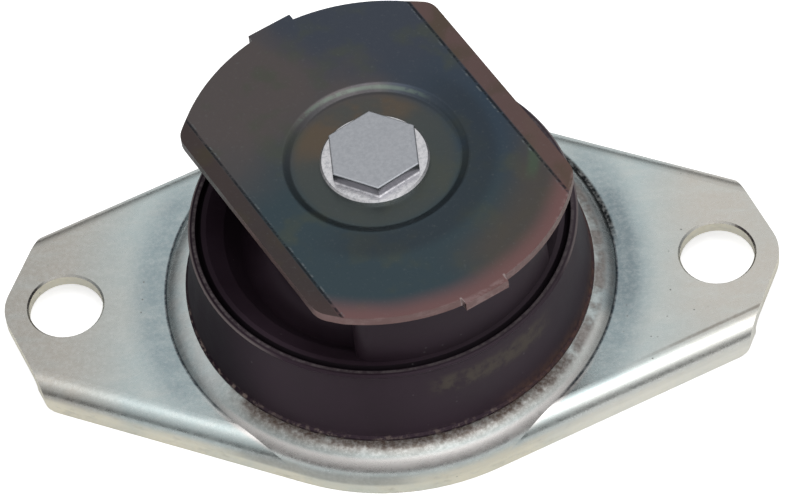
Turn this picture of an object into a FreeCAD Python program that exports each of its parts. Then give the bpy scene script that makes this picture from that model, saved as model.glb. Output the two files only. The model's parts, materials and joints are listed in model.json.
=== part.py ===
"""Rubber engine mount with a two-eared pressed base plate and a top limiter plate.

All lengths are millimetres.  The mount stands on the rim of the base plate's skirt:
the origin is below its middle, +X runs along the two ears, +Y across them and +Z up
the clamping bolt.  Each sub-part is one solid, written to parts/NODE.step.
"""
import FreeCAD, Part
import os
from math import cos, radians, sin, sqrt, tan

V = FreeCAD.Vector
ORIGIN = V(0, 0, 0)
Z_AXIS = V(0, 0, 1)

# ---------------------------------------------------------------- driving dimensions
# Base plate: one pressing with two ears, long edges rolled down, a neck drawn up
hole_spacing = 140.0          # between the two ear holes
hole_d = 16.0
sheet_t = 3.0
deck_height = 7.5             # top face of the ears above the skirt rim
ear_margin = 14.1             # hole centre to where the two chamfers of an ear would meet
ear_chamfer_angle = 22.8      # chamfered ear end against the cross direction
ear_tip_r = 10.5
flank_angle = 23.9            # long edge of an ear against the long axis
flank_bend_r = 4.8            # outside radius of the rolled long edge
drum_r = 50.2                 # skirt wall round the middle; the long edges run off it
shoulder_rise = 2.6           # round shoulder under the rubber, above the ears
skirt_corner_r = 2.0          # lower corners at the four ends of the skirt
punched_edge = 0.4            # bevel on the upper edge of the ear holes
shoulder_flat = 1.3           # level ring between the roll-over and the drawn neck
neck_taper = 2.7              # the neck narrows by this much in radius up to its rim
neck_height = 17.3            # above the shoulder

# Rubber element: skin over the neck, spring inside it, two buffer blocks on top
skin_foot_t = 1.8             # rubber outside the neck at its foot
skin_rim_t = 2.0              # and at its rim
skin_cap_t = 2.2              # rubber over the neck's rim
lining_t = 2.0                # rubber inside the neck
foot_bead = 0.5               # line of flash where the skin meets the shoulder
rim_bead = 0.45               # raised line round the upper rim
groove_setback = 1.1          # groove round the rim, in from its outer edge
groove_w = 1.2
groove_depth = 0.9
land_w = 3.4                  # flat land on the rim
land_bevel = 1.7              # height of the slope from the land into the hollow
trough_depth = 9.5            # lowest part of the hollow, below the rim
trough_bend_r = 5.0
spring_t = 8.5                # rubber under the trough
arch_rise = 3.5               # the spring's underside rises this much towards the core
sleeve_t = 2.4                # rubber round the core
sleeve_drop = 7.0             # it ends this far below the limiter plate
sleeve_bevel = 0.8
sleeve_foot_t = 4.8           # it thickens to this where it runs into the spring
sleeve_foot_rise = 7.0        # above the trough
collar_drop = 4.0             # below the spring's underside, the sleeve goes on this far
buffer_span = 83.0            # angle taken by one buffer block
buffer_setback = 3.3          # outer wall of a block at the rim, in from the rim's edge
buffer_lean = 0.9             # the wall leans in by this much up to the block's top
buffer_inner_r = 23.0
buffer_corner_r = 3.5
buffer_bevel = 0.8

# Inner core: tapered steel hub, tapped from both ends
core_top_r = 17.0
core_foot_r = 13.0
core_ground_gap = 1.0         # it ends this far above the skirt rim
core_chamfer = 1.2
tap_chamfer = 1.0
foot_tap_depth = 16.0         # tapped hole in the foot of the core
tap_runout = 2.5              # upper hole goes this far past the bolt's tip

# Limiter plate: two-flat disc, dished under the bolt, straight edges turned up
plate_t = 2.2
plate_top = 42.3              # outer face above the ears
plate_r = 41.7
plate_half_width = 31.4       # centre to a straight edge
plate_strip_w = 4.0           # width of the bent strip along a straight edge
plate_edge_lift = 0.7         # a straight edge stands this far above the outer face
plate_bend_r = 1.5            # inside radius of the bend
plate_corner_r = 5.0
plate_axis_angle = -60.5      # long axis of the plate against +X
plate_shift_along = -0.4      # the plate sits this far off the bolt, within its clearance
plate_shift_across = 0.5
lug_width = 10.2
lug_rise = 1.3                # a lug stands this far out of the round edge
dish_r = 19.6                 # rim of the dished seat
dish_depth = 1.0
dish_wall_run = 1.8           # its wall slopes inward by this much
dish_edge_r = 0.9

# Clamping bolt: M12 hexagon bolt with flange
bolt_r = 6.0
bolt_length = 24.0            # below the flange
bolt_tip_chamfer = 1.2
flange_lip = 1.1              # the flange is this much wider than the hexagon's corners
flange_rim_t = 1.2
flange_bevel = 0.4
flange_cone_rise = 0.2        # the flange rises this much towards the hexagon
hex_af = 18.0
hex_height = 2.9              # above the flange's rim
hex_edge_r = 0.4
hex_turn = 3.0                # one corner points this far round from -Y

# Clearances
buffer_gap = 0.3              # buffer block to limiter plate
bolt_clearance = 0.75         # radial, bolt in the limiter plate
thread_clearance = 0.05       # radial, bolt in the tapped core

# ---------------------------------------------------------------- derived dimensions
ear_reach = hole_spacing / 2 + ear_margin
shoulder_top = deck_height + shoulder_rise
drum_bend_r = flank_bend_r + shoulder_rise    # the roll-over starts at one height all round
neck_foot_r = drum_r - drum_bend_r - shoulder_flat
neck_rim_r = neck_foot_r - neck_taper
neck_rim = shoulder_top + neck_height
skin_rim = neck_rim + skin_cap_t
skin_rim_r = neck_rim_r + skin_rim_t
trough_z = skin_rim - trough_depth
limiter_top = deck_height + plate_top
limiter_bottom = limiter_top - plate_t
seat_top = limiter_top - dish_depth
seat_bottom = seat_top - plate_t
sleeve_top = limiter_bottom - sleeve_drop
head_top = seat_top + flange_rim_t + hex_height
hex_corner_r = hex_af / 2 / cos(radians(30))
flange_r = hex_corner_r + flange_lip
lug_reach = plate_r + lug_rise
overcut = 1.0                 # how far a cutting solid runs past a face


# ---------------------------------------------------------------- helpers
def arc_about(start, end, centre, radius):
    """Short circular arc from start to end about a centre."""
    middle = (start + end) * 0.5 - centre
    middle.normalize()
    return Part.Arc(start, centre + middle * radius, end).toShape()


def rounded_loop(corners, place):
    """Closed wire through (a, b) or (a, b, radius) corners, set in space by place."""
    count = len(corners)
    points = [place(c[0], c[1]) for c in corners]
    radii = [c[2] if len(c) > 2 else 0.0 for c in corners]
    entries, exits, arcs = [], [], []
    for i, point in enumerate(points):
        if radii[i] == 0.0:
            entries.append(point)
            exits.append(point)
            arcs.append(None)
            continue
        back = points[i - 1] - point
        ahead = points[(i + 1) % count] - point
        half = back.getAngle(ahead) / 2
        back.normalize()
        ahead.normalize()
        reach = radii[i] / tan(half)
        to_centre = back + ahead
        to_centre.normalize()
        centre = point + to_centre * (radii[i] / sin(half))
        entries.append(point + back * reach)
        exits.append(point + ahead * reach)
        arcs.append(arc_about(entries[-1], exits[-1], centre, radii[i]))
    edges = []
    for i in range(count):
        if arcs[i]:
            edges.append(arcs[i])
        following = entries[(i + 1) % count]
        if (following - exits[i]).Length > 1e-6:
            edges.append(Part.LineSegment(exits[i], following).toShape())
    return Part.Wire(edges)


def turned(corners):
    """Solid turned about the Z axis from a closed (radius, height) outline."""
    wire = rounded_loop(corners, lambda r, z: V(r, 0, z))
    return Part.Face(wire).revolve(ORIGIN, Z_AXIS, 360)


def prism(corners, z_low, z_high):
    """Upright prism on a closed (x, y) outline."""
    wire = rounded_loop(corners, lambda x, y: V(x, y, z_low))
    return Part.Face(wire).extrude(V(0, 0, z_high - z_low))


def edges_where(shape, test):
    return [edge for edge in shape.Edges if test(edge)]


def on_circle(edge, radius, z, tolerance=0.02):
    """True where an edge lies on the circle of this radius and height about Z."""
    first, last = edge.ParameterRange
    points = [edge.valueAt(p) for p in (first, (first + last) / 2, last)]
    return all(abs(p.z - z) < tolerance and abs(sqrt(p.x ** 2 + p.y ** 2) - radius) < tolerance
               for p in points)


def level(edge, z, tolerance=0.01):
    box = edge.BoundBox
    return abs(box.ZMin - z) < tolerance and abs(box.ZMax - z) < tolerance


# ---------------------------------------------------------------- base plate
def ear_block(inset, low):
    """Both ears as one block under the deck, moved in by inset, its long edges rolled over.

    The straight long edges touch the round middle, which covers the stretch between them.
    """
    end_x = ear_reach + overcut
    touch_x = (drum_r - inset) * sin(radians(flank_angle))
    touch_y = (drum_r - inset) * cos(radians(flank_angle))
    end_y = touch_y - (end_x - touch_x) * tan(radians(flank_angle))
    top = deck_height - inset
    block = prism([(end_x, end_y), (touch_x, touch_y), (-touch_x, touch_y), (-end_x, end_y),
                   (-end_x, -end_y), (-touch_x, -touch_y), (touch_x, -touch_y),
                   (end_x, -end_y)], low, top)
    rolled = edges_where(block, lambda e: level(e, top) and e.BoundBox.XLength > overcut)
    return block.makeFillet(flank_bend_r - inset, rolled)


def neck_radius(z):
    """Outside radius of the drawn neck at a height."""
    return neck_foot_r - neck_taper * (z - shoulder_top) / neck_height


def middle_block(inset, low, top):
    """Turned middle, moved in by inset: roll-over, level shoulder and tapered neck.

    The hollow corner at the neck's foot stays sharp, and the sheet rounds its other side.
    """
    shoulder = shoulder_top - inset
    wall_r = drum_r - inset
    return turned([(0, low), (wall_r, low), (wall_r, shoulder, drum_bend_r - inset),
                   (neck_radius(shoulder) - inset, shoulder, inset),
                   (neck_radius(top) - inset, top), (0, top)])


def ear_trim():
    """Upright prism that cuts the ear ends to their chamfers and rounded tips."""
    wide_y = drum_r + overcut
    narrow_x = ear_reach - tan(radians(ear_chamfer_angle)) * wide_y
    return prism([(ear_reach, 0, ear_tip_r), (narrow_x, wide_y), (-narrow_x, wide_y),
                  (-ear_reach, 0, ear_tip_r), (-narrow_x, -wide_y), (narrow_x, -wide_y)],
                 -overcut, neck_rim + overcut)


def base_plate():
    body = ear_block(0, 0).fuse(middle_block(0, 0, neck_rim))
    body = body.cut(ear_block(sheet_t, -overcut))
    body = body.cut(middle_block(sheet_t, -overcut, neck_rim + overcut))
    body = body.common(ear_trim())
    for s in (1, -1):
        at = V(s * hole_spacing / 2, 0, -overcut)
        body = body.cut(Part.makeCylinder(hole_d / 2, deck_height + 2 * overcut, at))
    body = body.removeSplitter()
    body = body.makeFillet(skirt_corner_r, edges_where(body, is_skirt_end))
    return body.makeChamfer(punched_edge, edges_where(body, is_hole_rim))


def is_skirt_end(edge):
    """Short lower edge across the sheet at one end of the skirt."""
    box = edge.BoundBox
    outside = min(abs(box.XMin), abs(box.XMax)) > hole_spacing / 2 - ear_tip_r
    return level(edge, 0.0) and outside and edge.Length < 2 * sheet_t


def is_hole_rim(edge, tolerance=0.1):
    box = edge.BoundBox
    off_centre = max(abs(abs(box.Center.x) - hole_spacing / 2), abs(box.Center.y))
    wrong_size = abs(box.XLength - hole_d)
    return level(edge, deck_height) and max(off_centre, wrong_size) < tolerance


# ---------------------------------------------------------------- inner core
def core_radius(z):
    """Outside radius of the tapered hub at a height."""
    share = (z - core_ground_gap) / (seat_bottom - core_ground_gap)
    return core_foot_r + (core_top_r - core_foot_r) * share


def core_blank():
    low = core_ground_gap
    return turned([(0, low), (core_foot_r - core_chamfer, low),
                   (core_radius(low + core_chamfer), low + core_chamfer),
                   (core_top_r, seat_bottom), (0, seat_bottom)])


def tapped_hole(mouth, end):
    """Cutting solid for a chamfered tapped hole on the axis, from its mouth to its end."""
    tap_r = bolt_r + thread_clearance
    out = 1 if mouth > end else -1
    wide_r = tap_r + tap_chamfer + overcut
    return turned([(0, end), (tap_r, end), (tap_r, mouth - out * tap_chamfer),
                   (wide_r, mouth + out * overcut), (0, mouth + out * overcut)])


def inner_core():
    body = core_blank()
    body = body.cut(tapped_hole(core_ground_gap, core_ground_gap + foot_tap_depth))
    return body.cut(tapped_hole(seat_bottom, seat_top - bolt_length - tap_runout))


# ---------------------------------------------------------------- rubber element
def upper_profile():
    """Rubber's upper side from the core out over the rim to the shoulder."""
    sleeve_r = core_radius(sleeve_top) + sleeve_t
    sleeve_foot_z = trough_z + sleeve_foot_rise
    sleeve_foot_r = core_radius(sleeve_foot_z) + sleeve_foot_t
    inner_wall_r = neck_rim_r - sheet_t - lining_t
    groove_r = skin_rim_r - groove_setback
    foot_r = neck_foot_r + skin_foot_t
    return [
        (0, sleeve_top), (sleeve_r - sleeve_bevel, sleeve_top),
        (sleeve_r, sleeve_top - sleeve_bevel), (sleeve_foot_r, sleeve_foot_z),
        ((sleeve_foot_r + inner_wall_r) / 2, trough_z, trough_bend_r),
        (inner_wall_r, skin_rim - land_bevel), (skin_rim_r - land_w, skin_rim),
        (groove_r - groove_w, skin_rim), (groove_r - groove_w / 2, skin_rim - groove_depth),
        (groove_r, skin_rim), (skin_rim_r, skin_rim),
        (skin_rim_r + rim_bead, skin_rim - rim_bead), (skin_rim_r, skin_rim - 3 * rim_bead),
        (foot_r, shoulder_top + 2 * foot_bead), (foot_r + foot_bead, shoulder_top + foot_bead)]


def lower_profile():
    """Rubber's underside, from inside the shoulder's sheet round the arch to the core."""
    foot_r = neck_foot_r + skin_foot_t + foot_bead
    in_sheet_r = neck_foot_r - sheet_t / 2
    in_sheet_z = shoulder_top - sheet_t / 4
    shoulder_under = shoulder_top - sheet_t
    arch_z = trough_z - spring_t
    return [
        (foot_r, in_sheet_z), (in_sheet_r, in_sheet_z), (in_sheet_r, shoulder_under),
        (neck_foot_r - sheet_t - lining_t, shoulder_under),
        (neck_rim_r - sheet_t - 2 * lining_t, arch_z),
        (core_radius(arch_z) + sleeve_foot_t, arch_z + arch_rise),
        (core_radius(arch_z) + sleeve_t, arch_z), (core_radius(arch_z) + sleeve_t, arch_z - collar_drop),
        (0, arch_z - collar_drop)]


def buffer_block(angle):
    """One rounded block on the rim, its outer wall leaning in towards the top."""
    low = trough_z
    top = limiter_bottom - buffer_gap
    foot_r = skin_rim_r - buffer_setback
    low_r = foot_r + buffer_lean * (skin_rim - low) / (top - skin_rim)
    face = Part.Face(rounded_loop([(buffer_inner_r, low), (low_r, low), (foot_r - buffer_lean, top),
                                   (buffer_inner_r, top)], lambda r, z: V(r, 0, z)))
    block = face.revolve(ORIGIN, Z_AXIS, buffer_span)
    corners = edges_where(block, lambda e: e.BoundBox.ZLength > (top - low) / 2)
    block = block.makeFillet(buffer_corner_r, corners)
    block = block.makeChamfer(buffer_bevel, edges_where(block, lambda e: level(e, top)))
    block.rotate(ORIGIN, Z_AXIS, angle - buffer_span / 2)
    return block


def rubber_element(plate, core):
    """Moulding that fills the space round the plate's neck and the core."""
    body = turned(upper_profile() + lower_profile())
    for turn in (0, 180):
        body = body.fuse(buffer_block(plate_axis_angle + turn))
    return body.cut(plate).cut(core)


# ---------------------------------------------------------------- limiter plate
def bent_sheet():
    """Flat sheet with both long sides turned up a little, running along local X."""
    bend_at = plate_half_width - plate_strip_w
    slope = sqrt(plate_strip_w ** 2 + plate_edge_lift ** 2)
    up, out = plate_edge_lift / slope, plate_strip_w / slope
    edge_top = limiter_top + plate_edge_lift
    right = [(bend_at, limiter_top, plate_bend_r), (plate_half_width, edge_top),
             (plate_half_width, edge_top - plate_t / out),
             (bend_at + plate_t * up / (1 + out), limiter_bottom, plate_bend_r + plate_t)]
    left = [(-c[0],) + tuple(c[1:]) for c in reversed(right)]
    half = lug_reach + overcut
    wire = rounded_loop(right + left, lambda y, z: V(-half, y, z))
    return Part.Face(wire).extrude(V(2 * half, 0, 0))


def plate_outline():
    """Two-flat disc with rounded corners and a straight lug on each arc."""
    low = limiter_bottom - overcut
    height = limiter_top + plate_edge_lift + overcut - low
    disc = Part.makeCylinder(plate_r, height, V(0, 0, low))
    slab = Part.makeBox(2 * lug_reach, 2 * plate_half_width, height,
                        V(-lug_reach, -plate_half_width, low))
    blank = disc.common(slab)
    upright = edges_where(blank, lambda e: e.BoundBox.ZLength > height / 2)
    corners = [e for e in upright if e.BoundBox.XLength < 0.01 and abs(e.BoundBox.YMax) > 0.01]
    blank = blank.makeFillet(plate_corner_r, corners)
    lugs = Part.makeBox(2 * lug_reach, lug_width, height, V(-lug_reach, -lug_width / 2, low))
    return blank.fuse(lugs).removeSplitter()


def limiter_plate():
    body = bent_sheet().common(plate_outline())
    floor_r = dish_r - dish_wall_run
    wall_slope = dish_wall_run / dish_depth
    boss_r = dish_r + plate_t * (sqrt(1 + wall_slope ** 2) - wall_slope)
    boss_floor_r = boss_r - dish_wall_run
    body = body.fuse(turned([(0, seat_bottom), (boss_floor_r, seat_bottom),
                             (boss_r, limiter_bottom), (0, limiter_bottom)]))
    recess_top = limiter_top + overcut
    body = body.cut(turned([(0, seat_top), (floor_r, seat_top),
                            (dish_r + wall_slope * overcut, recess_top), (0, recess_top)]))
    hole = Part.makeCylinder(bolt_r + bolt_clearance, plate_top, V(0, 0, deck_height))
    body = body.cut(hole).removeSplitter()
    rims = edges_where(body, lambda e: on_circle(e, dish_r, limiter_top)
                       or on_circle(e, floor_r, seat_top))
    body = body.makeFillet(dish_edge_r, rims)
    body.translate(V(plate_shift_along, plate_shift_across, 0))
    body.rotate(ORIGIN, Z_AXIS, plate_axis_angle)
    return body


# ---------------------------------------------------------------- clamping bolt
def hexagon(z_low, z_high):
    turns = [radians(-90 + hex_turn + 60 * i) for i in range(6)]
    return prism([(hex_corner_r * cos(a), hex_corner_r * sin(a)) for a in turns], z_low, z_high)


def flange_bolt():
    rim_top = seat_top + flange_rim_t
    flange = turned([(0, seat_top), (flange_r, seat_top), (flange_r, rim_top - flange_bevel),
                     (flange_r - flange_bevel, rim_top),
                     (hex_af / 2, rim_top + flange_cone_rise), (0, rim_top + flange_cone_rise)])
    head = hexagon(seat_top, head_top)
    head = head.makeFillet(hex_edge_r, edges_where(head, lambda e: level(e, head_top)))
    tip = seat_top - bolt_length
    shank = turned([(0, tip), (bolt_r - bolt_tip_chamfer, tip), (bolt_r, tip + bolt_tip_chamfer),
                    (bolt_r, seat_top + flange_rim_t / 2), (0, seat_top + flange_rim_t / 2)])
    return flange.fuse(head).fuse(shank).removeSplitter()


# ---------------------------------------------------------------- whole mount
def build():
    plate = base_plate()
    return {
        "base_plate": plate,
        "inner_core": inner_core(),
        "rubber_element": rubber_element(plate, core_blank()),
        "limiter_plate": limiter_plate(),
        "flange_bolt": flange_bolt(),
    }


def main():
    os.makedirs("parts", exist_ok=True)
    for name, shape in build().items():
        solid = shape.Solids[0]
        solid.exportStep("parts/" + name + ".step")
        box = solid.BoundBox
        print("%-16s solids %d valid %s volume %.0f mm3  z %.2f to %.2f"
              % (name, len(shape.Solids), solid.isValid(), solid.Volume, box.ZMin, box.ZMax))


main()
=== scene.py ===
"""Looks of the rubber engine mount: finishes, floor, light and camera round its CAD frame."""
import json
import math

import bpy
from mathutils import Matrix, Vector


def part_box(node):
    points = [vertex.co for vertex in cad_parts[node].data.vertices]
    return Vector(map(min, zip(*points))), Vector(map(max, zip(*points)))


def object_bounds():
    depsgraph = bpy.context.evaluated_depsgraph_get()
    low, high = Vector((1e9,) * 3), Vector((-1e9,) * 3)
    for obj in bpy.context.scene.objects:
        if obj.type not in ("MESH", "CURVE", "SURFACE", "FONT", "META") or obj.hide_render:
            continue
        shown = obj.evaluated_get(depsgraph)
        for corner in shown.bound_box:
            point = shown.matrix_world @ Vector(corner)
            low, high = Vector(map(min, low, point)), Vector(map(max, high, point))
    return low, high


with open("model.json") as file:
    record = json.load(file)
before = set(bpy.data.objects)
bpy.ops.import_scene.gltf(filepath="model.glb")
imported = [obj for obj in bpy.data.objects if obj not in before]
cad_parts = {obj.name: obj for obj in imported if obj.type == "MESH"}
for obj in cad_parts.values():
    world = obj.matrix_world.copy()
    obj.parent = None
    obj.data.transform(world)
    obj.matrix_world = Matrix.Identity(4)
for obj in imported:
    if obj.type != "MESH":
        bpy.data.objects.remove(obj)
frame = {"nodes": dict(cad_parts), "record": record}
cad_box = [list(corner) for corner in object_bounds()]

MM = 0.001

# Places in millimetres, from the frame
mounts = {mount["name"]: mount for mount in frame["record"]["mounts"]}
deck_top = mounts["ear_bolts"]["pos_m"][2] / MM
hole_x = mounts["ear_bolts"]["dims"]["spacing_x_mm"] / 2
neck_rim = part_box("base_plate")[1].z / MM
head_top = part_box("flange_bolt")[1].z / MM

# Sizes in millimetres and degrees that the frame doesn't hold
shoulder_top = deck_top + 2.6
crease_r = 48.4              # crease between the ears and the round shoulder
flank_direction = 66.1       # square to the long edge of an ear, against +X
flank_bend_at = 45.4         # where that edge starts to roll over
rubber_foot_r = 43.6
rubber_rim_r = 40.8
rubber_rim = neck_rim + 2.2
plate_r = 41.7
plate_shift = 0.5            # the limiter plate sits this far off the bolt, across its length
long_axis_angle = -60.5      # long axis of that plate against +X
strip_at = 27.4              # bend line of its turned-up strips
lug_edge = 5.2               # side of a lug, from the plate's long axis
dish_r = 19.6
hex_corner_r = 10.4

# Floor and light
floor_size = 6.0
floor_drop = 0.1 * MM        # keeps the floor just clear of the skirt's rim
wall_levels = ((0.0, 0.16), (0.25, 0.24), (0.55, 0.66), (0.8, 0.82), (1.0, 0.86))
glow_centre = (0.12, -0.24, 0)
glow_radii = (0.70, 0.60)
glow_core = 0.25             # share of those radii with the full strength
glow_strength = 2.2

# Camera, in degrees and metres
view_azimuth = 3.438
view_elevation = 52.977
view_roll = 7.462
view_distance = 1.08496
aim_offset = Vector((0.00147, -0.00302, -0.00364))
view_lens = 235.5


# ---------------------------------------------------------------- node building
class Finish:
    """One procedural material. Its methods add nodes and return an output socket.

    Lengths are in millimetres, and bearings in degrees about the Z axis from +X.
    """

    def __init__(self, name):
        self.material = bpy.data.materials.new(name)
        self.material.use_nodes = True
        self.tree = self.material.node_tree
        self.tree.nodes.clear()
        output = self.tree.nodes.new("ShaderNodeOutputMaterial")
        self.shader = self.tree.nodes.new("ShaderNodeBsdfPrincipled")
        self.tree.links.new(self.shader.outputs[0], output.inputs[0])
        coordinate = self.tree.nodes.new("ShaderNodeTexCoord")
        scale = self.tree.nodes.new("ShaderNodeVectorMath")
        scale.operation = "SCALE"
        scale.inputs["Scale"].default_value = 1 / MM
        self.tree.links.new(coordinate.outputs["Object"], scale.inputs[0])
        self.place = scale.outputs[0]
        split = self.tree.nodes.new("ShaderNodeSeparateXYZ")
        self.tree.links.new(self.place, split.inputs[0])
        self.x, self.y, self.z = split.outputs
        self.radius = self.math("SQRT", self.plus(self.times(self.x, self.x), self.times(self.y, self.y)))
        self.bearing = self.math("DEGREES", self.math("ARCTAN2", self.y, self.x))
        facing = self.tree.nodes.new("ShaderNodeSeparateXYZ")
        self.tree.links.new(coordinate.outputs["Normal"], facing.inputs[0])
        self.up = facing.outputs[2]

    def feed(self, socket, value):
        if isinstance(value, bpy.types.NodeSocket):
            self.tree.links.new(value, socket)
        elif isinstance(value, tuple) and socket.type == "RGBA":
            socket.default_value = (*value, 1)
        else:
            socket.default_value = value

    def math(self, operation, a, b=0.0, clamp=False):
        node = self.tree.nodes.new("ShaderNodeMath")
        node.operation = operation
        node.use_clamp = clamp
        self.feed(node.inputs[0], a)
        self.feed(node.inputs[1], b)
        return node.outputs[0]

    def plus(self, a, b):
        return self.math("ADD", a, b)

    def less(self, a, b):
        return self.math("SUBTRACT", a, b)

    def times(self, a, b):
        return self.math("MULTIPLY", a, b)

    def either(self, a, b):
        return self.math("MAXIMUM", a, b)

    def absolute(self, value):
        return self.math("ABSOLUTE", value)

    def all_of(self, *factors):
        product = factors[0]
        for factor in factors[1:]:
            product = self.times(product, factor)
        return product

    def remap(self, value, low, high, to_low=0.0, to_high=1.0):
        """Smooth change from to_low to to_high as value goes from low to high."""
        node = self.tree.nodes.new("ShaderNodeMapRange")
        node.interpolation_type = "SMOOTHSTEP"
        for socket, number in zip(node.inputs, (value, low, high, to_low, to_high)):
            self.feed(socket, number)
        return node.outputs[0]

    def band(self, value, centre, half_width, soft):
        """One near centre, fading to nothing over soft beyond half_width."""
        offset = self.absolute(self.less(value, centre))
        return self.remap(offset, half_width, half_width + soft, 1.0, 0.0)

    def arc(self, middle, half_width, soft):
        """One within half_width degrees of a bearing, fading out over soft degrees."""
        offset = self.math("WRAP", self.less(self.bearing, middle), 180.0)
        offset.node.inputs[2].default_value = -180.0
        return self.band(offset, 0.0, half_width, soft)

    def across(self, bearing):
        """Distance in plan from the Z axis, measured along a bearing."""
        turn = math.radians(bearing)
        return self.plus(self.times(self.x, math.cos(turn)), self.times(self.y, math.sin(turn)))

    def noise(self, size, detail, rough=0.55, stretch=(1, 1, 1), shift=0.0):
        """Cloud noise whose features are about size millimetres across."""
        mapping = self.tree.nodes.new("ShaderNodeMapping")
        self.tree.links.new(self.place, mapping.inputs["Vector"])
        mapping.inputs["Scale"].default_value = stretch
        mapping.inputs["Location"].default_value = (shift, shift * 0.7, shift * 0.3)
        node = self.tree.nodes.new("ShaderNodeTexNoise")
        self.tree.links.new(mapping.outputs[0], node.inputs["Vector"])
        node.inputs["Scale"].default_value = 1 / size
        node.inputs["Detail"].default_value = detail
        node.inputs["Roughness"].default_value = rough
        return node.outputs[0]

    def dots(self, size, core_share, soft_share):
        """Scattered dots about size millimetres apart, whose radii are shares of that."""
        node = self.tree.nodes.new("ShaderNodeTexVoronoi")
        self.tree.links.new(self.place, node.inputs["Vector"])
        node.inputs["Scale"].default_value = 1 / size
        return self.remap(node.outputs["Distance"], core_share + soft_share, core_share)

    def mix(self, factor, a, b, kind="MIX"):
        node = self.tree.nodes.new("ShaderNodeMix")
        node.data_type = "RGBA"
        node.blend_type = kind
        self.feed(node.inputs[0], factor)
        self.feed(node.inputs[6], a)
        self.feed(node.inputs[7], b)
        return node.outputs[2]

    def start(self, factor, first, second):
        """Begin the colour as a blend of two."""
        self.colour = self.mix(factor, first, second)

    def paint(self, where, colour, strength=1.0):
        """Lay one more colour over the colour so far."""
        self.colour = self.mix(self.times(where, strength), self.colour, colour)

    def dim(self, level):
        """Darken the colour so far to a share of itself."""
        self.colour = self.mix(1.0, self.colour, level, "MULTIPLY")

    def shade(self, **inputs):
        """Give the shader the colour so far and its other inputs."""
        self.feed(self.shader.inputs["Base Color"], self.colour)
        for name, value in inputs.items():
            self.feed(self.shader.inputs[name.replace("_", " ")], value)

    def bump(self, height, depth, strength):
        node = self.tree.nodes.new("ShaderNodeBump")
        node.inputs["Strength"].default_value = strength
        node.inputs["Distance"].default_value = depth * MM
        self.feed(node.inputs["Height"], height)
        self.tree.links.new(node.outputs[0], self.shader.inputs["Normal"])


# ---------------------------------------------------------------- base plate
def zinc_plate():
    """Satin zinc plating: cool near the rubber, warmer at the ears, stained beside it, with painted
    highlights and painted shade.
    """
    zinc = Finish("zinc_plating")
    clouds = zinc.noise(20.0, 4.0)
    streaks = zinc.noise(6.0, 5.0, 0.6, stretch=(0.5, 1.6, 1), shift=17.0)
    deck = zinc.remap(zinc.z, deck_top - 0.3, deck_top - 0.05)
    wall = zinc.remap(zinc.up, 0.45, 0.15)
    tone_ears(zinc, clouds, streaks)
    darken_round_shoulder(zinc, streaks, deck)
    tone_skirt(zinc, clouds, wall)
    rust = paint_shoulder_stains_and_light(zinc)
    draw_crease(zinc, streaks, deck)

    speckle = zinc.noise(0.9, 4.0, 0.7)
    zinc.paint(zinc.remap(speckle, 0.35, 0.75, 0.0, 0.25), (0.74, 0.76, 0.75))
    pits = zinc.all_of(zinc.dots(2.6, 0.04, 0.06), zinc.remap(clouds, 0.52, 0.62))
    zinc.paint(pits, (0.22, 0.23, 0.22))
    wear = zinc.noise(3.5, 6.0, 0.7, stretch=(1, 2.5, 1), shift=31.0)
    dulled = zinc.either(zinc.times(rust, 0.3), zinc.times(wall, 0.1))
    zinc.shade(Metallic=1.0, Roughness=zinc.plus(zinc.remap(wear, 0.3, 0.7, 0.21, 0.33), dulled))
    zinc.bump(zinc.plus(speckle, zinc.times(clouds, 2.5)), 0.05, 0.35)
    return zinc.material


def tone_ears(zinc, clouds, streaks):
    """Warmer towards the ears, with pale streaks, and darker towards the left one."""
    cool = (0.54, 0.62, 0.62)
    warm = (0.63, 0.60, 0.545)
    pale = (0.66, 0.69, 0.66)
    near_hole = zinc.remap(zinc.absolute(zinc.x), hole_x - 20.0, hole_x + 4.0)
    drift = zinc.times(zinc.less(clouds, 0.5), 1.3)
    zinc.start(zinc.math("ADD", near_hole, drift, clamp=True), cool, warm)
    zinc.paint(zinc.remap(streaks, 0.45, 0.7, 0.0, 0.45), pale)
    zinc.dim(zinc.remap(zinc.x, -hole_x - 14.0, -hole_x + 30.0, 0.70, 1.0))


def darken_round_shoulder(zinc, streaks, deck):
    """Painted blue-grey shade on the ears beside the shoulder, deepest on the right."""
    blue_grey_shade = (0.27, 0.35, 0.38)
    deep_blue_grey_shade = (0.16, 0.205, 0.23)
    beside_ears = zinc.either(zinc.arc(0.0, 26.0, 22.0), zinc.arc(180.0, 26.0, 22.0))
    shade_band = zinc.all_of(zinc.band(zinc.radius, crease_r + 1.6, 1.6, 7.0), deck, beside_ears)
    # painted shade on the ears beside the shoulder, broken up by the streaks
    zinc.paint(zinc.all_of(shade_band, zinc.remap(streaks, 0.3, 0.6, 0.5, 0.8)), blue_grey_shade)
    ring = zinc.band(zinc.radius, crease_r + 1.5, 1.4, 3.5)
    # deeper painted shade in a ring on the right ear
    zinc.paint(zinc.all_of(ring, deck, zinc.arc(4.0, 12.0, 14.0)), deep_blue_grey_shade, 0.55)


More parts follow.
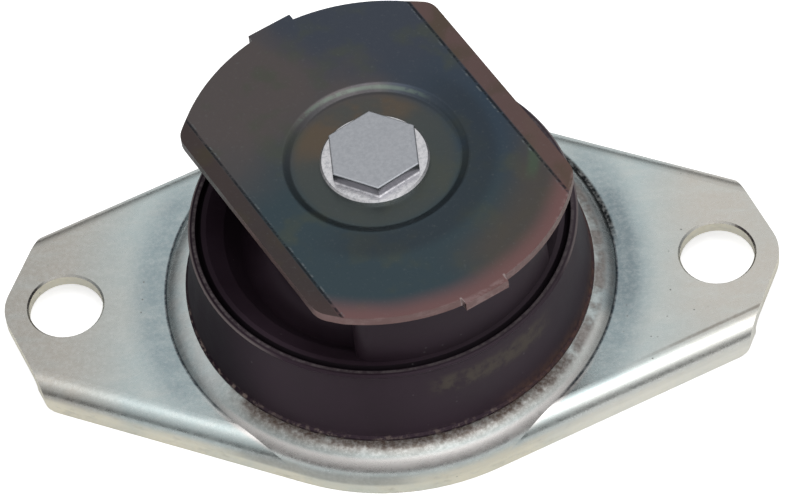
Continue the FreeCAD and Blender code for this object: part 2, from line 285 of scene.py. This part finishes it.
def tone_skirt(zinc, clouds, wall):
    """Yellowish walls with some grime, a painted highlight on the roll-over at the front right, and a
    dark hairline along the bend on the right.
    """
    yellowish = (0.84, 0.80, 0.66)
    grimy = (0.45, 0.44, 0.37)
    bright = (0.92, 0.92, 0.87)
    dark_hairline = (0.20, 0.17, 0.14)
    zinc.paint(zinc.times(wall, zinc.remap(clouds, 0.3, 0.6, 0.5, 0.95)), yellowish)
    grime = zinc.noise(4.0, 5.0, 0.65, stretch=(1, 1, 2.5), shift=4.0)
    zinc.paint(zinc.all_of(wall, zinc.remap(grime, 0.5, 0.75, 0.0, 0.5)), grimy)
    roll_over = zinc.remap(zinc.up, 0.97, 0.85)
    front_right = zinc.all_of(zinc.remap(zinc.x, 20.0, 45.0), zinc.remap(zinc.y, -12.0, -16.0))
    # painted highlight on the roll-over at the front right
    zinc.paint(zinc.all_of(roll_over, front_right), bright, 0.6)
    bend_line = zinc.band(zinc.across(-flank_direction), flank_bend_at - 0.3, 0.12, 0.5)
    towards_hole = zinc.remap(zinc.x, hole_x - 24.0, hole_x - 4.0)
    # dark hairline along the start of the bend on the right ear
    zinc.paint(zinc.all_of(bend_line, towards_hole, zinc.remap(zinc.up, 0.9, 0.97)), dark_hairline, 0.6)


def paint_shoulder_stains_and_light(zinc):
    """Front slope stained and darkened with painted shade, painted shade on the roll-over, a pale painted
    highlight on the crown in front, and rust where the rubber starts.
    """
    stain_and_shade = (0.125, 0.108, 0.095)
    grey = (0.30, 0.31, 0.30)
    pale = (0.74, 0.71, 0.69)
    rust_brown = (0.07, 0.045, 0.035)
    film_brown = (0.46, 0.42, 0.40)
    blotches = zinc.noise(4.5, 5.0, 0.6, stretch=(1, 1, 0.6))
    front = zinc.arc(-88.0, 42.0, 22.0)
    right = zinc.arc(2.0, 42.0, 14.0)

    slope = zinc.remap(zinc.radius, crease_r + 0.8, crease_r - 3.2)
    # stain and painted shade on the front slope near the rubber
    zinc.paint(zinc.all_of(front, slope, zinc.remap(blotches, 0.25, 0.6, 0.82, 0.98)), stain_and_shade)
    below_deck = zinc.remap(zinc.z, deck_top - 1.3, deck_top - 2.5)
    roll_over = zinc.all_of(below_deck, zinc.remap(zinc.z, 2.4, 3.4))
    front_left = zinc.remap(zinc.arc(-110.0, 12.0, 18.0), 0.0, 1.0, 0.12, 0.70)
    # painted shade on the roll-over, strongest at the front left
    zinc.paint(zinc.times(roll_over, front_left), grey)
    # painted highlight on the crown in front
    zinc.paint(zinc.all_of(front, zinc.band(zinc.radius, crease_r - 0.1, 0.5, 0.9)), pale)

    inward = zinc.less(zinc.radius, zinc.times(right, 0.9))
    rust = zinc.all_of(zinc.band(inward, rubber_foot_r + 0.4, 0.5, 1.6), zinc.either(right, front),
                       zinc.remap(blotches, 0.3, 0.55),
                       zinc.remap(zinc.z, deck_top + 1.1, deck_top + 1.9))
    zinc.paint(rust, rust_brown, 0.85)
    film = zinc.all_of(zinc.band(zinc.radius, rubber_foot_r + 2.0, 1.8, 2.0),
                       zinc.remap(zinc.z, deck_top + 0.1, deck_top + 0.7),
                       zinc.remap(blotches, 0.35, 0.65, 0.1, 0.4), zinc.less(1.0, front))
    zinc.paint(film, film_brown)
    return rust


def draw_crease(zinc, streaks, deck):
    """Painted shade: a dark line in the crease at both ears, and a deeper painted shadow in it at the
    back right.
    """
    line_blue = (0.03, 0.042, 0.055)
    shade_black = (0.01, 0.012, 0.014)
    line = zinc.all_of(zinc.band(zinc.radius, crease_r + 0.05, 0.10, 0.32), deck,
                       zinc.either(zinc.arc(0.0, 38.0, 12.0), zinc.arc(180.0, 34.0, 12.0)))
    # painted shade in the crease
    zinc.paint(zinc.all_of(line, zinc.remap(streaks, 0.3, 0.5, 0.6, 0.95)), line_blue)
    shade = zinc.all_of(zinc.band(zinc.radius, crease_r + 0.1, 0.55, 0.7), zinc.arc(28.0, 15.0, 10.0),
                        zinc.remap(zinc.z, deck_top - 0.5, deck_top - 0.2))
    zinc.paint(shade, shade_black)


# ---------------------------------------------------------------- limiter plate
def chromate_plate():
    """Dark iridescent chromate: teal middle, brown far side, reddish rims, with painted shade and painted
    highlights.
    """
    plate = Finish("dark_chromate")
    along = plate.across(long_axis_angle)
    side = plate.less(plate.across(long_axis_angle + 90), plate_shift)
    clouds = plate.noise(26.0, 3.0)
    patches = plate.noise(10.0, 3.0, shift=12.0)
    fine_breakup = plate.noise(1.6, 5.0, 0.75, stretch=(0.6, 1, 1), shift=2.0)
    drift = plate.times(plate.less(clouds, 0.5), 34.0)
    reach = plate.plus(plate.radius, plate.times(drift, 0.10))
    tint_face(plate, along, side, drift, patches)
    tint_seat(plate, patches)
    tint_near_end(plate, along, side, reach)
    tint_strips(plate, side, patches, fine_breakup)
    draw_dish(plate, fine_breakup)
    edges_and_edge_highlights(plate, along, side, reach, fine_breakup)

    speckle = plate.noise(0.8, 4.0, 0.7)
    plate.paint(plate.remap(speckle, 0.55, 0.85, 0.0, 0.22), (0.22, 0.24, 0.24))
    wear = plate.noise(4.0, 5.0, 0.65, shift=5.0)
    plate.shade(Metallic=1.0, Roughness=plate.remap(wear, 0.3, 0.7, 0.30, 0.44))
    plate.bump(plate.plus(speckle, plate.times(clouds, 1.5)), 0.05, 0.3)
    return plate.material


def tint_face(plate, along, side, drift, patches):
    """Brown far side going over to teal, bluer to the right, with olive patches."""
    brown = (0.102, 0.089, 0.088)
    teal = (0.050, 0.073, 0.086)
    blue = (0.044, 0.064, 0.094)
    olive = (0.078, 0.090, 0.068)
    plate.start(plate.remap(plate.plus(along, drift), -24.0, 4.0), brown, teal)
    to_right = plate.plus(plate.less(side, plate.times(along, 0.3)), drift)
    plate.paint(plate.remap(to_right, 6.0, 22.0, 0.0, 0.7), blue)
    plate.paint(plate.remap(patches, 0.5, 0.68, 0.0, 0.55), olive)


def tint_seat(plate, patches):
    """Olive seat with an ochre patch, and painted shade on the roll outside its rim."""
    olive = (0.085, 0.090, 0.080)
    ochre = (0.135, 0.098, 0.068)
    dark = (0.040, 0.048, 0.058)
    seat = plate.remap(plate.radius, dish_r - 1.0, dish_r - 4.0)
    plate.paint(seat, olive, 0.6)
    patch = plate.all_of(seat, plate.arc(115.0, 40.0, 35.0), plate.remap(patches, 0.35, 0.55))
    plate.paint(patch, ochre, 0.7)
    # painted shade on the roll outside the rim, towards the front right
    roll = plate.band(plate.radius, dish_r + 2.6, 1.6, 3.4)
    plate.paint(plate.all_of(roll, plate.arc(-30.0, 62.0, 40.0)), dark, 0.6)


def tint_near_end(plate, along, side, reach):
    """Olive and then red towards the near end, with a green mark on the right."""
    olive = (0.096, 0.080, 0.068)
    red = (0.20, 0.108, 0.106)
    green = (0.075, 0.12, 0.08)
    near_right = plate.all_of(plate.remap(reach, plate_r - 16.7, plate_r - 7.7),
                              plate.remap(along, 0.0, 20.0), plate.remap(side, -6.0, 8.0))
    plate.paint(near_right, olive, 0.75)
    rim = plate.all_of(plate.remap(reach, plate_r - 6.2, plate_r - 0.7), plate.remap(along, -6.0, 14.0))
    plate.paint(rim, red, 0.9)
    mark = plate.all_of(plate.band(reach, plate_r - 8.7, 0.3, 1.6), plate.arc(0.0, 9.0, 9.0))
    plate.paint(mark, green, 0.6)


def tint_strips(plate, side, patches, fine_breakup):
    """Brown left strip and reddish right one, each with a dark line of painted shade along its bend and a
    painted highlight beside it.
    """
    brown = (0.072, 0.056, 0.054)
    reddish = (0.135, 0.086, 0.079)
    ochre = (0.085, 0.070, 0.046)
    dark = (0.02, 0.022, 0.026)
    painted_edge_highlight = (0.16, 0.18, 0.19)
    off_axis = plate.absolute(side)
    strip_colour = plate.mix(plate.remap(side, -5.0, 5.0), brown, reddish)
    strip_colour = plate.mix(plate.remap(patches, 0.45, 0.65, 0.0, 0.6), strip_colour, ochre)
    plate.paint(plate.remap(off_axis, strip_at + 0.1, strip_at + 0.7), strip_colour, 0.9)
    # painted shade along the bend line
    bend = plate.band(off_axis, strip_at + 0.1, 0.12, 0.3)
    plate.paint(plate.all_of(bend, plate.remap(fine_breakup, 0.35, 0.55, 0.2, 0.9)), dark)
    # painted highlight beside the bend
    beside_bend = plate.band(off_axis, strip_at - 0.35, 0.08, 0.22)
    plate.paint(plate.all_of(beside_bend, plate.remap(fine_breakup, 0.5, 0.62)), painted_edge_highlight, 0.6)


def draw_dish(plate, fine_breakup):
    """Painted highlight on the far lip of the dish, and painted shade on the wall below it."""
    painted_edge_highlight = (0.13, 0.17, 0.14)
    dark = (0.03, 0.036, 0.042)
    # painted highlight on the far lip
    lip = plate.band(plate.radius, dish_r - 0.3, 0.15, 0.45)
    far_lip = plate.all_of(lip, plate.arc(100.0, 38.0, 14.0), plate.remap(fine_breakup, 0.35, 0.5))
    plate.paint(far_lip, painted_edge_highlight, 0.5)
    # painted shade on the wall below the far lip
    wall = plate.band(plate.radius, dish_r - 1.3, 0.3, 0.7)
    plate.paint(plate.all_of(wall, plate.arc(120.0, 95.0, 20.0)), dark, 0.35)


def edges_and_edge_highlights(plate, along, side, reach, fine_breakup):
    """Sheared edges, redder at the near end, with a painted highlight on the near end's rim and pale
    marks at the near lug's corners.
    """
    dark = (0.05, 0.045, 0.045)
    reddish = (0.20, 0.125, 0.12)
    painted_edge_highlight = (0.34, 0.25, 0.245)
    pale_mark = (0.36, 0.29, 0.285)
    edge = plate.times(plate.remap(plate.up, 0.7, 0.3), plate.remap(plate.up, -0.7, -0.3))
    plate.paint(edge, plate.mix(plate.remap(along, -20.0, 10.0), dark, reddish))
    # painted highlight along the rim at the near end
    rim = plate.all_of(plate.remap(reach, plate_r - 0.8, plate_r - 0.1), plate.remap(fine_breakup, 0.42, 0.62),
                       plate.remap(along, 0.0, 20.0))
    plate.paint(rim, painted_edge_highlight, 0.45)
    # pale marks at the near lug's corners
    corner_marks = plate.all_of(plate.band(plate.absolute(side), lug_edge, 0.1, 0.25),
                        plate.band(along, plate_r - 0.4, 0.5, 0.5))
    plate.paint(plate.all_of(corner_marks, plate.remap(fine_breakup, 0.3, 0.5, 0.4, 1.0)), pale_mark)


# ---------------------------------------------------------------- rubber
def moulded_rubber():
    """Satin black rubber with a purple-brown tint, dusty edges and a faint yellow smear."""
    rubber = Finish("moulded_rubber")
    clouds = rubber.noise(16.0, 4.0)
    dust = rubber.noise(1.3, 5.0, 0.7, shift=8.0)
    far_left = rubber.remap(rubber.across(180.0), 22.0, 38.0)
    tone_rubber(rubber, clouds, far_left)
    draw_rim(rubber, dust)
    dust_foot(rubber, dust)

    rubber.paint(rubber.remap(dust, 0.62, 0.8, 0.0, 0.3), (0.075, 0.062, 0.06))
    specks = rubber.all_of(rubber.dots(3.1, 0.05, 0.05), rubber.remap(clouds, 0.5, 0.6))
    rubber.paint(specks, (0.12, 0.11, 0.115), 0.4)
    rubber.shade(Roughness=rubber.remap(clouds, 0.3, 0.7, 0.42, 0.56), IOR=1.30,
                 Specular_Tint=(1.0, 0.80, 0.96),
                 Specular_IOR_Level=rubber.less(0.5, rubber.times(far_left, 0.35)))
    rubber.bump(rubber.plus(dust, rubber.times(clouds, 2.0)), 0.06, 0.4)
    return rubber.material


def tone_rubber(rubber, clouds, far_left):
    """Blackest at the far left from painted shade, paler on the right from painted light, with the smear
    on the front right wall.
    """
    dark = (0.019, 0.0115, 0.0165)
    brown = (0.029, 0.018, 0.026)
    black = (0.008, 0.005, 0.008)
    pale = (0.046, 0.037, 0.044)
    yellow = (0.092, 0.082, 0.055)
    rubber.start(rubber.remap(clouds, 0.3, 0.7), dark, brown)
    # painted shade on the far left
    rubber.paint(far_left, black, 0.6)
    # painted light on the right side
    right = rubber.remap(rubber.across(-20.0), 8.0, 34.0)
    rubber.paint(rubber.all_of(right, rubber.remap(rubber.z, 12.0, 20.0)), pale, 0.5)
    smear = rubber.all_of(rubber.arc(-58.0, 15.0, 9.0), rubber.band(rubber.z, rubber_rim - 6.2, 1.2, 2.2),
                          rubber.remap(rubber.radius, 38.5, 40.0),
                          rubber.remap(rubber.noise(3.0, 5.0, 0.65, shift=3.0), 0.35, 0.6))
    rubber.paint(smear, yellow, 0.55)


def draw_rim(rubber, dust):
    """Painted shade in the groove, a dusty ridge on the rim, and a worn outer edge at both sides."""
    black = (0.003, 0.002, 0.003)
    dusty = (0.085, 0.072, 0.075)
    worn = (0.13, 0.11, 0.11)
    # painted shade in the groove of the rim
    groove = rubber.all_of(rubber.band(rubber.radius, rubber_rim_r - 1.7, 0.5, 0.3),
                           rubber.band(rubber.z, rubber_rim - 0.4, 0.5, 0.3))
    rubber.paint(groove, black)
    ridge = rubber.all_of(rubber.band(rubber.radius, rubber_rim_r - 0.7, 0.15, 0.3),
                          rubber.remap(rubber.z, rubber_rim - 0.3, rubber_rim - 0.1),
                          rubber.remap(dust, 0.4, 0.6, 0.3, 1.0))
    rubber.paint(ridge, dusty)
    edge = rubber.all_of(rubber.band(rubber.radius, rubber_rim_r + 0.3, 0.12, 0.3),
                         rubber.band(rubber.z, rubber_rim - 0.5, 0.2, 0.5))
    both_sides = rubber.either(rubber.arc(195.0, 30.0, 14.0), rubber.arc(5.0, 22.0, 12.0))
    rubber.paint(rubber.all_of(edge, both_sides), worn)


def dust_foot(rubber, dust):
    """Dust on the foot in front, and a rusty tinge above it on the right."""
    dusty = (0.19, 0.15, 0.13)
    rusty = (0.075, 0.042, 0.032)
    streak = rubber.noise(9.0, 3.0, shift=21.0)
    foot = rubber.all_of(rubber.remap(rubber.radius, rubber_foot_r - 0.5, rubber_foot_r - 0.1),
                         rubber.remap(rubber.z, shoulder_top + 2.1, shoulder_top + 1.1),
                         rubber.remap(dust, 0.47, 0.6), rubber.arc(-110.0, 55.0, 20.0))
    rubber.paint(rubber.all_of(foot, rubber.remap(streak, 0.3, 0.6, 0.15, 0.7)), dusty)
    tinge = rubber.all_of(rubber.remap(rubber.z, shoulder_top + 4.9, shoulder_top + 0.9),
                          rubber.arc(0.0, 52.0, 12.0), rubber.remap(rubber.radius, 41.0, 42.0),
                          rubber.remap(dust, 0.38, 0.6, 0.2, 0.9))
    rubber.paint(tinge, rusty)


# ---------------------------------------------------------------- core and bolt
def turned_steel():
    """Plain turned steel with fine rings."""
    steel = Finish("turned_steel")
    rings = steel.noise(0.5, 2.0, stretch=(0.05, 0.05, 1.0))
    steel.start(steel.noise(9.0, 4.0), (0.28, 0.28, 0.29), (0.42, 0.41, 0.40))
    steel.shade(Metallic=1.0, Roughness=steel.remap(rings, 0.3, 0.7, 0.3, 0.48))
    steel.bump(rings, 0.04, 0.4)
    return steel.material


def bolt_zinc():
    """Bright zinc: grained and less glossy on top, hexagon sides darkened with painted shade, pale
    flange.
    """
    side_shade_grey = (0.165, 0.155, 0.175)
    flange_grey = (0.80, 0.79, 0.81)
    bolt = Finish("bolt_zinc")
    grain = bolt.noise(0.7, 5.0, 0.7)
    clouds = bolt.noise(6.0, 3.0)
    bolt.start(bolt.remap(grain, 0.3, 0.7), (0.375, 0.39, 0.42), (0.45, 0.465, 0.495))
    bolt.paint(bolt.remap(clouds, 0.45, 0.75, 0.0, 0.3), (0.42, 0.43, 0.46))
    inside_flange = bolt.remap(bolt.radius, hex_corner_r + 0.6, hex_corner_r + 0.2)
    # painted shade on the hexagon sides
    bolt.paint(bolt.all_of(bolt.remap(bolt.up, 0.5, 0.2), inside_flange), side_shade_grey, 0.75)
    flange = bolt.remap(bolt.z, head_top - 2.2, head_top - 2.6)
    bolt.paint(bolt.times(flange, bolt.remap(grain, 0.3, 0.6, 0.3, 0.9)), flange_grey)
    top = bolt.remap(bolt.z, head_top - 0.3, head_top - 0.1)
    bolt.shade(Metallic=1.0, Roughness=bolt.plus(bolt.times(top, 0.2), 0.28))
    bolt.bump(grain, 0.05, 0.5)
    return bolt.material


def dress(node, material):
    mesh = frame["nodes"][node].data
    mesh.materials.clear()
    mesh.materials.append(material)


# ---------------------------------------------------------------- floor, light, camera
def added(tree, first, second):
    both = tree.nodes.new("ShaderNodeAddShader")
    tree.links.new(first, both.inputs[0])
    tree.links.new(second, both.inputs[1])
    return both.outputs[0]


def white_when_seen(tree, surface, strength):
    """Add light that only camera and transmission rays meet, so the surroundings look white."""
    path = tree.nodes.new("ShaderNodeLightPath")
    seen = tree.nodes.new("ShaderNodeMath")
    seen.operation = "MAXIMUM"
    tree.links.new(path.outputs["Is Camera Ray"], seen.inputs[0])
    tree.links.new(path.outputs["Is Transmission Ray"], seen.inputs[1])
    level = tree.nodes.new("ShaderNodeMath")
    level.operation = "MULTIPLY"
    level.inputs[1].default_value = strength
    tree.links.new(seen.outputs[0], level.inputs[0])
    glow = tree.nodes.new("ShaderNodeEmission")
    glow.inputs["Color"].default_value = (1, 1, 1, 1)
    tree.links.new(level.outputs[0], glow.inputs["Strength"])
    return added(tree, surface, glow.outputs[0])


def make_floor():
    bpy.ops.mesh.primitive_plane_add(size=floor_size, location=(0, 0, -floor_drop))
    floor = bpy.context.object
    floor.name = "floor"
    material = bpy.data.materials.new("floor_white")
    material.use_nodes = True
    tree = material.node_tree
    tree.nodes.clear()
    output = tree.nodes.new("ShaderNodeOutputMaterial")
    diffuse = tree.nodes.new("ShaderNodeBsdfDiffuse")
    diffuse.inputs["Color"].default_value = (0.8, 0.8, 0.8, 1)
    tree.links.new(white_when_seen(tree, diffuse.outputs[0], 0.65), output.inputs[0])
    floor.data.materials.append(material)


def wall_light(tree, direction):
    """Studio walls, dark up to the horizon and pale high up."""
    split = tree.nodes.new("ShaderNodeSeparateXYZ")
    tree.links.new(direction, split.inputs[0])
    ramp = tree.nodes.new("ShaderNodeValToRGB")
    while len(ramp.color_ramp.elements) < len(wall_levels):
        ramp.color_ramp.elements.new(0.5)
    for element, (position, level) in zip(ramp.color_ramp.elements, wall_levels):
        element.position = position
        element.color = (level, level, level, 1)
    tree.links.new(split.outputs[2], ramp.inputs[0])
    walls = tree.nodes.new("ShaderNodeBackground")
    tree.links.new(ramp.outputs[0], walls.inputs["Color"])
    return walls.outputs[0]


def overhead_light(tree, direction):
    """One soft oval light overhead, a little to the front right."""
    offset = tree.nodes.new("ShaderNodeVectorMath")
    offset.operation = "SUBTRACT"
    offset.inputs[1].default_value = glow_centre
    tree.links.new(direction, offset.inputs[0])
    oval = tree.nodes.new("ShaderNodeVectorMath")
    oval.operation = "MULTIPLY"
    oval.inputs[1].default_value = (1 / glow_radii[0], 1 / glow_radii[1], 0)
    tree.links.new(offset.outputs[0], oval.inputs[0])
    reach = tree.nodes.new("ShaderNodeVectorMath")
    reach.operation = "LENGTH"
    tree.links.new(oval.outputs[0], reach.inputs[0])
    glow = tree.nodes.new("ShaderNodeMapRange")
    glow.interpolation_type = "SMOOTHSTEP"
    glow.inputs["From Min"].default_value = 1.0
    glow.inputs["From Max"].default_value = glow_core
    glow.inputs["To Max"].default_value = glow_strength
    tree.links.new(reach.outputs["Value"], glow.inputs["Value"])
    lamp = tree.nodes.new("ShaderNodeBackground")
    tree.links.new(glow.outputs[0], lamp.inputs["Strength"])
    return lamp.outputs[0]


def make_world():
    """Walls and overhead light for the part; the camera itself sees plain white."""
    world = bpy.data.worlds.new("studio")
    bpy.context.scene.world = world
    world.use_nodes = True
    tree = world.node_tree
    tree.nodes.clear()
    output = tree.nodes.new("ShaderNodeOutputWorld")
    direction = tree.nodes.new("ShaderNodeTexCoord").outputs["Generated"]
    studio = added(tree, wall_light(tree, direction), overhead_light(tree, direction))
    tree.links.new(white_when_seen(tree, studio, 0.9), output.inputs[0])


def make_camera():
    """Camera by its angles about a point near the middle of the mount."""
    azimuth = math.radians(view_azimuth)
    elevation = math.radians(view_elevation)
    low, high = (Vector(corner) for corner in cad_box)
    aim = (low + high) / 2 + aim_offset
    back = Vector((math.sin(azimuth) * math.cos(elevation),
                   -math.cos(azimuth) * math.cos(elevation), math.sin(elevation)))
    right = Vector((math.cos(azimuth), math.sin(azimuth), 0))
    up = back.cross(right)
    axes = Matrix((right, up, back)).transposed()
    roll = Matrix.Rotation(-math.radians(view_roll), 4, "Z")
    data = bpy.data.cameras.new("camera")
    data.lens = view_lens
    data.sensor_width = 36.0
    data.clip_end = 20.0
    camera = bpy.data.objects.new("camera", data)
    bpy.context.scene.collection.objects.link(camera)
    camera.matrix_world = Matrix.Translation(aim + back * view_distance) @ axes.to_4x4() @ roll
    bpy.context.scene.camera = camera


dress("base_plate", zinc_plate())
dress("rubber_element", moulded_rubber())
dress("inner_core", turned_steel())
dress("limiter_plate", chromate_plate())
dress("flange_bolt", bolt_zinc())
make_floor()
make_world()
make_camera()
bpy.context.scene.view_settings.view_transform = "Standard"
